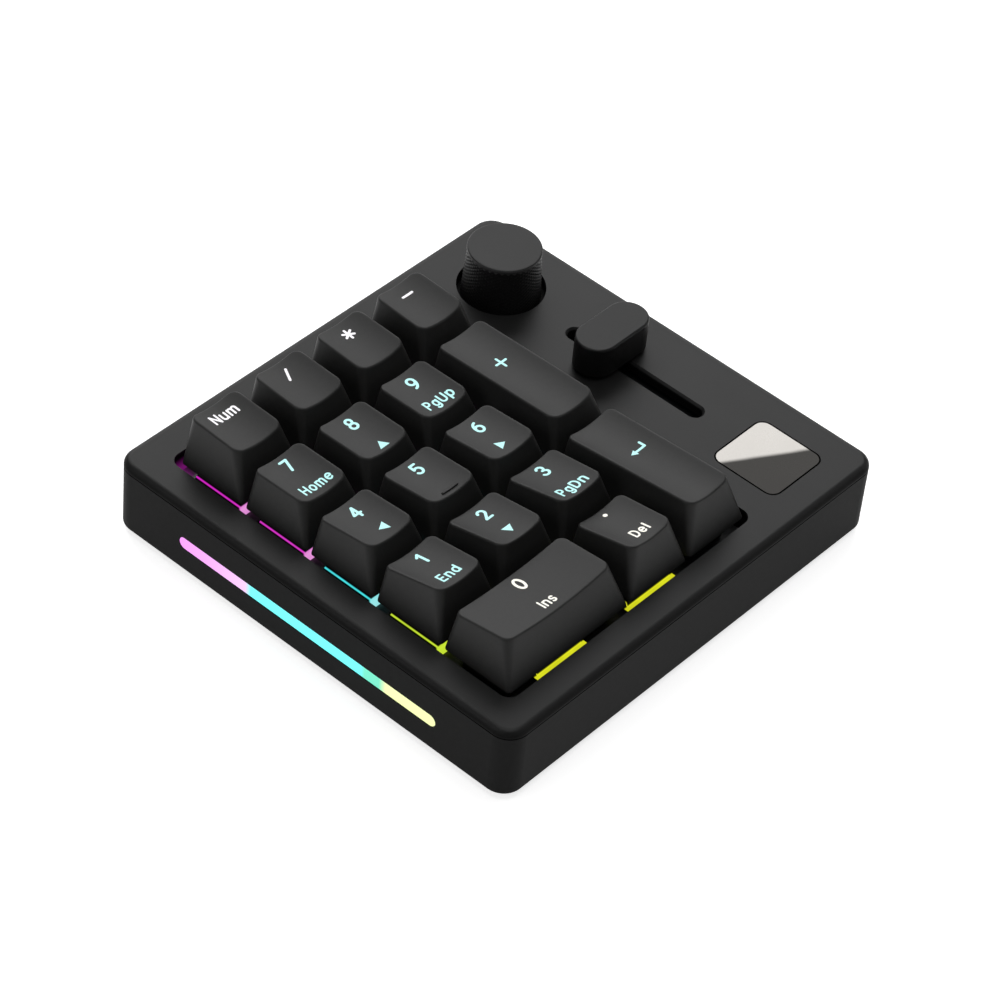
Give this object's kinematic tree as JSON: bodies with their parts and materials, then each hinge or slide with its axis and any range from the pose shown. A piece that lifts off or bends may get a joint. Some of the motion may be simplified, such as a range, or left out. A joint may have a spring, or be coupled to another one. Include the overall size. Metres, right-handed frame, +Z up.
{
  "type": "macro keypad with a knob and a slider",
  "caption": "Low square keypad on rubber feet: number keys that press down, a knurled push knob, a slide control and lit side strips.",
  "frame": {"origin": "on the desk, under the middle of the case", "axes": "+Z up, +X to the right of the person who types, +Y away from them towards the rear edge with the port"},
  "size_m": [0.1204, 0.1142, 0.0313],
  "materials": {
    "frame_black": "fine matt black moulding",
    "case_black": "fine matt black moulding",
    "rubber_black": "soft non-slip rubber",
    "screw_steel": "plain steel",
    "diffuser": "frosted light diffuser",
    "plate_steel": "plain steel sheet",
    "foam": "soft damping foam",
    "board_black": "solder-masked laminate",
    "socket_black": "moulded plastic",
    "cell_foil": "foil pouch",
    "housing_clear": "translucent moulding that spreads the light",
    "guide_plastic": "slippery moulding",
    "encoder_metal": "plated metal",
    "knob_metal": "black anodised, knurled flank",
    "control_black": "matt black moulding",
    "cap_black": "matt black, fine grain",
    "stem_plastic": "slippery moulding",
    "mirror_tile": "polished, plain"
  },
  "bodies": {
    "base": {"top_frame": "frame_black", "bottom_case": "case_black", "foot_pads": "rubber_black", "case_screws": "screw_steel", "light_strips": "diffuser", "switch_plate": "plate_steel", "plate_foam": "foam", "circuit_board": "board_black", "switch_sockets": "socket_black", "battery": "cell_foil", "lower_housings": "housing_clear", "upper_housings": "housing_clear", "stabiliser_guides": "guide_plastic", "encoder_body": "socket_black", "encoder_bush": "encoder_metal", "encoder_nut": "encoder_metal", "slide_pot": "encoder_metal", "mirror_tile": "mirror_tile", "usb_c_port": "screw_steel", "mode_switch_body": "encoder_metal"},
    "key_num": {"keycap_num": "cap_black", "stem_num": "stem_plastic"},
    "key_divide": {"keycap_divide": "cap_black", "stem_divide": "stem_plastic"},
    "key_multiply": {"keycap_multiply": "cap_black", "stem_multiply": "stem_plastic"},
    "key_minus": {"keycap_minus": "cap_black", "stem_minus": "stem_plastic"},
    "key_seven": {"keycap_seven": "cap_black", "stem_seven": "stem_plastic"},
    "key_eight": {"keycap_eight": "cap_black", "stem_eight": "stem_plastic"},
    "key_nine": {"keycap_nine": "cap_black", "stem_nine": "stem_plastic"},
    "key_plus": {"keycap_plus": "cap_black", "stem_plus": "stem_plastic"},
    "key_four": {"keycap_four": "cap_black", "stem_four": "stem_plastic"},
    "key_five": {"keycap_five": "cap_black", "stem_five": "stem_plastic"},
    "key_six": {"keycap_six": "cap_black", "stem_six": "stem_plastic"},
    "key_one": {"keycap_one": "cap_black", "stem_one": "stem_plastic"},
    "key_two": {"keycap_two": "cap_black", "stem_two": "stem_plastic"},
    "key_three": {"keycap_three": "cap_black", "stem_three": "stem_plastic"},
    "key_enter": {"keycap_enter": "cap_black", "stem_enter": "stem_plastic"},
    "key_zero": {"keycap_zero": "cap_black", "stem_zero": "stem_plastic"},
    "key_point": {"keycap_point": "cap_black", "stem_point": "stem_plastic"},
    "plunger": {"encoder_plunger": "guide_plastic"},
    "knob": {"knob": "knob_metal", "encoder_shaft": "encoder_metal"},
    "slider": {"slider_cap": "control_black", "slider_lever": "guide_plastic"},
    "mode_switch": {"mode_switch_knob": "control_black"}
  },
  "joints": [
    {"name": "press_num", "type": "slide", "parent": "base", "child": "key_num", "axis": [0, 0, -1], "range_m": [0, 0.004], "stiffness_N_per_m": 75, "springref_m": -0.004},
    {"name": "press_divide", "type": "slide", "parent": "base", "child": "key_divide", "axis": [0, 0, -1], "range_m": [0, 0.004], "stiffness_N_per_m": 75, "springref_m": -0.004},
    {"name": "press_multiply", "type": "slide", "parent": "base", "child": "key_multiply", "axis": [0, 0, -1], "range_m": [0, 0.004], "stiffness_N_per_m": 75, "springref_m": -0.004},
    {"name": "press_minus", "type": "slide", "parent": "base", "child": "key_minus", "axis": [0, 0, -1], "range_m": [0, 0.004], "stiffness_N_per_m": 75, "springref_m": -0.004},
    {"name": "press_seven", "type": "slide", "parent": "base", "child": "key_seven", "axis": [0, 0, -1], "range_m": [0, 0.004], "stiffness_N_per_m": 75, "springref_m": -0.004},
    {"name": "press_eight", "type": "slide", "parent": "base", "child": "key_eight", "axis": [0, 0, -1], "range_m": [0, 0.004], "stiffness_N_per_m": 75, "springref_m": -0.004},
    {"name": "press_nine", "type": "slide", "parent": "base", "child": "key_nine", "axis": [0, 0, -1], "range_m": [0, 0.004], "stiffness_N_per_m": 75, "springref_m": -0.004},
    {"name": "press_plus", "type": "slide", "parent": "base", "child": "key_plus", "axis": [0, 0, -1], "range_m": [0, 0.004], "stiffness_N_per_m": 75, "springref_m": -0.004},
    {"name": "press_four", "type": "slide", "parent": "base", "child": "key_four", "axis": [0, 0, -1], "range_m": [0, 0.004], "stiffness_N_per_m": 75, "springref_m": -0.004},
    {"name": "press_five", "type": "slide", "parent": "base", "child": "key_five", "axis": [0, 0, -1], "range_m": [0, 0.004], "stiffness_N_per_m": 75, "springref_m": -0.004},
    {"name": "press_six", "type": "slide", "parent": "base", "child": "key_six", "axis": [0, 0, -1], "range_m": [0, 0.004], "stiffness_N_per_m": 75, "springref_m": -0.004},
    {"name": "press_one", "type": "slide", "parent": "base", "child": "key_one", "axis": [0, 0, -1], "range_m": [0, 0.004], "stiffness_N_per_m": 75, "springref_m": -0.004},
    {"name": "press_two", "type": "slide", "parent": "base", "child": "key_two", "axis": [0, 0, -1], "range_m": [0, 0.004], "stiffness_N_per_m": 75, "springref_m": -0.004},
    {"name": "press_three", "type": "slide", "parent": "base", "child": "key_three", "axis": [0, 0, -1], "range_m": [0, 0.004], "stiffness_N_per_m": 75, "springref_m": -0.004},
    {"name": "press_enter", "type": "slide", "parent": "base", "child": "key_enter", "axis": [0, 0, -1], "range_m": [0, 0.004], "stiffness_N_per_m": 75, "springref_m": -0.004},
    {"name": "press_zero", "type": "slide", "parent": "base", "child": "key_zero", "axis": [0, 0, -1], "range_m": [0, 0.004], "stiffness_N_per_m": 75, "springref_m": -0.004},
    {"name": "press_point", "type": "slide", "parent": "base", "child": "key_point", "axis": [0, 0, -1], "range_m": [0, 0.004], "stiffness_N_per_m": 75, "springref_m": -0.004},
    {"name": "knob_press", "type": "slide", "parent": "base", "child": "plunger", "axis": [0, 0, -1], "range_m": [0, 0.0005], "stiffness_N_per_m": 2000, "springref_m": -0.0005},
    {"name": "knob_turn", "type": "hinge", "parent": "plunger", "child": "knob", "pos_m": [0.04245, 0.0381, 0.0199], "axis": [0, 0, 1], "continuous": true},
    {"name": "slider_travel", "type": "slide", "parent": "base", "child": "slider", "axis": [0, 1, 0], "range_m": [-0.0226, 0.0074]},
    {"name": "mode_select", "type": "slide", "parent": "base", "child": "mode_switch", "axis": [1, 0, 0], "range_m": [-0.002, 0.002]}
  ]
}
